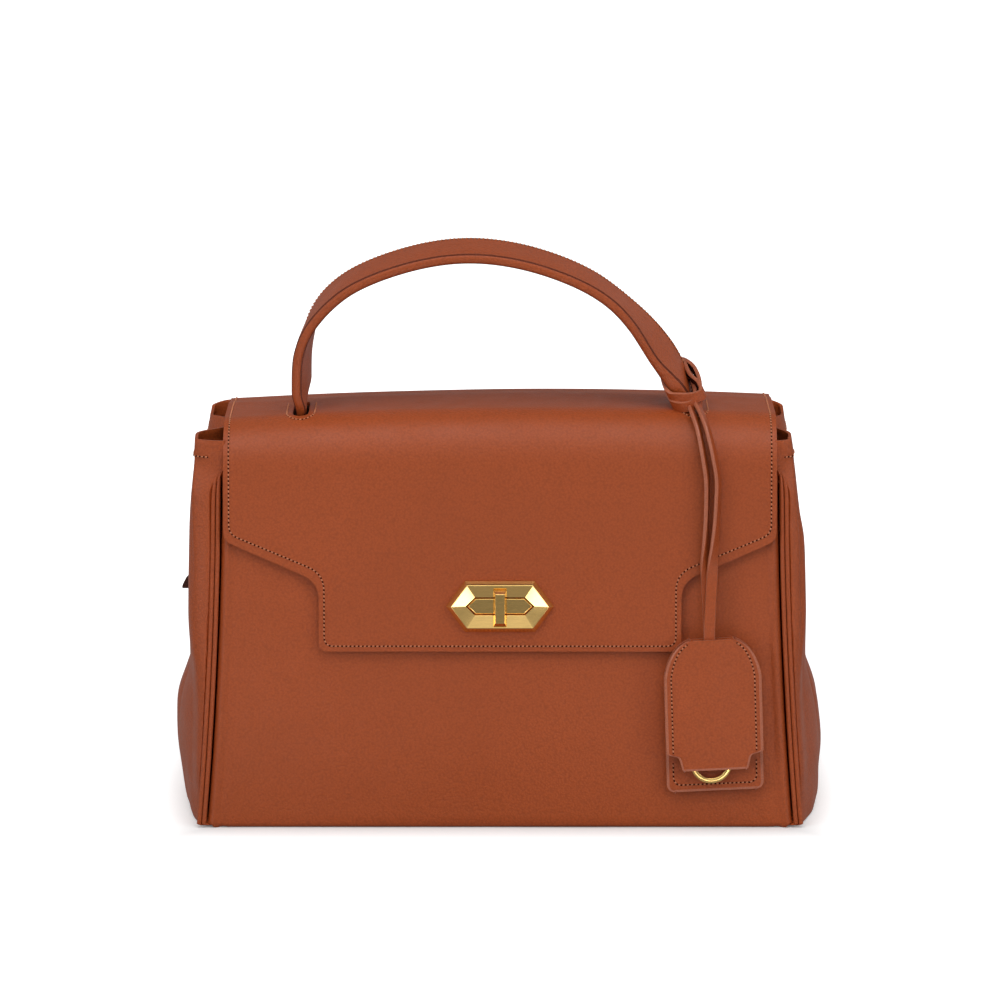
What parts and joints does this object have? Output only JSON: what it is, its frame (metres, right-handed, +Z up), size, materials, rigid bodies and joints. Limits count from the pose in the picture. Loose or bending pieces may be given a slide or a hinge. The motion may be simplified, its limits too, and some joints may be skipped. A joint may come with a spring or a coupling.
{
  "type": "top-handle flap satchel bag",
  "caption": "Structured leather top-handle bag with a folding flap, quarter-turn clasp, two-lobed bellows sides, zipped divider pocket and a key tag hanging on a strap.",
  "frame": {"origin": "middle of the base on the surface that the bag stands on", "axes": "+X the viewer's right, -Y the front with the flap and lock, +Z up"},
  "size_m": [0.341, 0.1497, 0.303],
  "materials": {
    "leather": "smooth satin cognac leather",
    "edge": "dark painted leather edge",
    "lining": "matte woven lining",
    "board": "matte fibre board",
    "brass": "polished pale gold plate"
  },
  "bodies": {
    "bag_body": {"front_panel": "leather", "back_panel": "leather", "base_panel": "leather", "base_board": "board", "lining_front": "lining", "lining_back": "lining", "lining_base": "lining", "gusset_left": "leather", "gusset_right": "leather", "seam_tab": "edge", "piping_front_left": "leather", "piping_front_right": "leather", "piping_back_left": "leather", "piping_back_right": "leather", "divider_front": "lining", "divider_back": "lining", "zip_tape": "lining", "zip_teeth": "brass", "strike_plate": "brass", "strike_rivet_low": "brass", "strike_rivet_high": "brass", "flap_root": "leather"},
    "flap_top": {"flap_top_leather": "leather", "flap_top_lining": "lining", "handle_anchor_left": "leather", "handle_anchor_right": "leather", "anchor_rivet_left": "brass", "anchor_rivet_right": "brass", "strap_lead": "leather"},
    "flap_front": {"flap_front_leather": "leather", "flap_front_lining": "lining", "lock_frame": "brass", "lock_face": "brass", "frame_post_left": "brass", "frame_post_right": "brass", "strap_bend": "leather"},
    "turn_knob": {"turn_bar": "brass", "turn_spindle": "brass", "lock_tongue": "brass", "tongue_screw": "brass"},
    "handle": {"handle_outer": "leather", "handle_core": "board", "handle_inner": "leather", "strap_hitch": "leather"},
    "strap": {"tag_strap": "leather"},
    "ring": {"key_ring": "brass"},
    "tag_sheath": {"tag_front_leaf": "leather", "tag_back_leaf": "leather", "tag_welt_left": "edge", "tag_welt_right": "edge"},
    "zip_runner": {"zip_slider": "brass", "zip_pull": "leather"}
  },
  "joints": [
    {"name": "flap_open", "type": "hinge", "parent": "bag_body", "child": "flap_top", "pos_m": [0, 0.04437, 0.20595], "axis": [-1, 0, 0], "range_deg": [0, 100]},
    {"name": "flap_bend", "type": "hinge", "parent": "flap_top", "child": "flap_front", "pos_m": [0, -0.04347, 0.20494], "axis": [-1, 0, 0], "range_deg": [0, 90]},
    {"name": "lock_turn", "type": "hinge", "parent": "flap_front", "child": "turn_knob", "pos_m": [0, -0.05631, 0.1162], "axis": [0, -0.9931, 0.117], "range_deg": [0, 90]},
    {"name": "handle_tilt", "type": "hinge", "parent": "flap_top", "child": "handle", "pos_m": [0, -0.01433, 0.21297], "axis": [1, 0, 0], "range_deg": [-15, 15], "stiffness_Nm_per_rad": 0.4},
    {"name": "tag_swing", "type": "hinge", "parent": "flap_front", "child": "strap", "pos_m": [0.1095, -0.05167, 0.18714], "axis": [-1, 0, 0], "range_deg": [0, 90]},
    {"name": "sheath_slide", "type": "slide", "parent": "strap", "child": "tag_sheath", "axis": [0, 0.117, 0.9931], "range_m": [0, 0.045]},
    {"name": "ring_turn", "type": "hinge", "parent": "strap", "child": "ring", "pos_m": [0.1095, -0.07405, 0.03653], "axis": [0, -0.9931, 0.117], "continuous": true},
    {"name": "zip_slide", "type": "slide", "parent": "bag_body", "child": "zip_runner", "axis": [-1, 0, 0], "range_m": [0, 0.2]}
  ],
  "couplings": [
    {"joint": "flap_bend", "follows": "flap_open", "ratio": 0.9}
  ]
}
